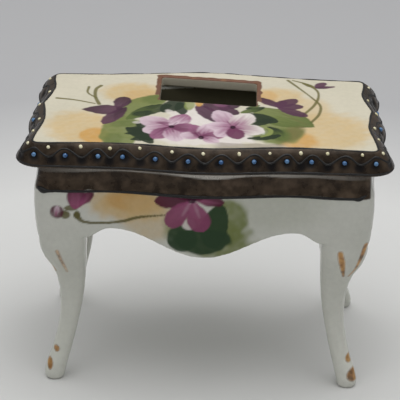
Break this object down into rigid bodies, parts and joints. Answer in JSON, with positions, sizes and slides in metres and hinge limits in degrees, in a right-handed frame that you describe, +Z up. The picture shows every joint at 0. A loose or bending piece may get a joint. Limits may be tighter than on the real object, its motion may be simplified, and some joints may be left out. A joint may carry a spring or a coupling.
{
  "type": "trinket box",
  "caption": "Hand-painted porcelain trinket box shaped like a small serpentine table on cabriole legs, with a lift-off scalloped lid that has a rectangular opening.",
  "frame": {"origin": "on the floor, under the middle of the lid", "axes": "+X to the right along the front, -Y towards the front, +Z up"},
  "size_m": [0.1154, 0.0688, 0.0818],
  "materials": {
    "white_porcelain": "gloss glaze",
    "painted_porcelain": "gloss glaze over painted decoration",
    "bronze_lustre": "gloss metallic lustre over raised relief",
    "black_enamel": "raised gloss enamel line",
    "cream_enamel": "raised gloss enamel dots",
    "worn_gold": "rubbed gilding",
    "blue_enamel": "raised gloss enamel"
  },
  "bodies": {
    "box": {"box_body": "white_porcelain", "leg_front_left": "white_porcelain", "leg_front_right": "white_porcelain", "leg_back_left": "white_porcelain", "leg_back_right": "white_porcelain"},
    "lid": {"lid": "painted_porcelain", "jewel_back_01": "blue_enamel", "jewel_back_02": "blue_enamel", "jewel_back_03": "blue_enamel", "jewel_back_04": "blue_enamel", "jewel_back_05": "blue_enamel", "jewel_back_06": "blue_enamel", "jewel_back_07": "blue_enamel", "jewel_back_08": "blue_enamel", "jewel_back_09": "blue_enamel", "jewel_back_10": "blue_enamel", "jewel_back_11": "blue_enamel", "jewel_back_12": "blue_enamel", "jewel_front_01": "blue_enamel", "jewel_front_02": "blue_enamel", "jewel_front_03": "blue_enamel", "jewel_front_04": "blue_enamel", "jewel_front_05": "blue_enamel", "jewel_front_06": "blue_enamel", "jewel_front_07": "blue_enamel", "jewel_front_08": "blue_enamel", "jewel_front_09": "blue_enamel", "jewel_front_10": "blue_enamel", "jewel_front_11": "blue_enamel", "jewel_front_12": "blue_enamel", "jewel_left_1": "blue_enamel", "jewel_left_2": "blue_enamel", "jewel_right_1": "blue_enamel", "jewel_right_2": "blue_enamel"}
  },
  "joints": [
    {"name": "lid_lift", "type": "slide", "parent": "box", "child": "lid", "axis": [0, 0, 1], "range_m": [0, 0.05]}
  ]
}
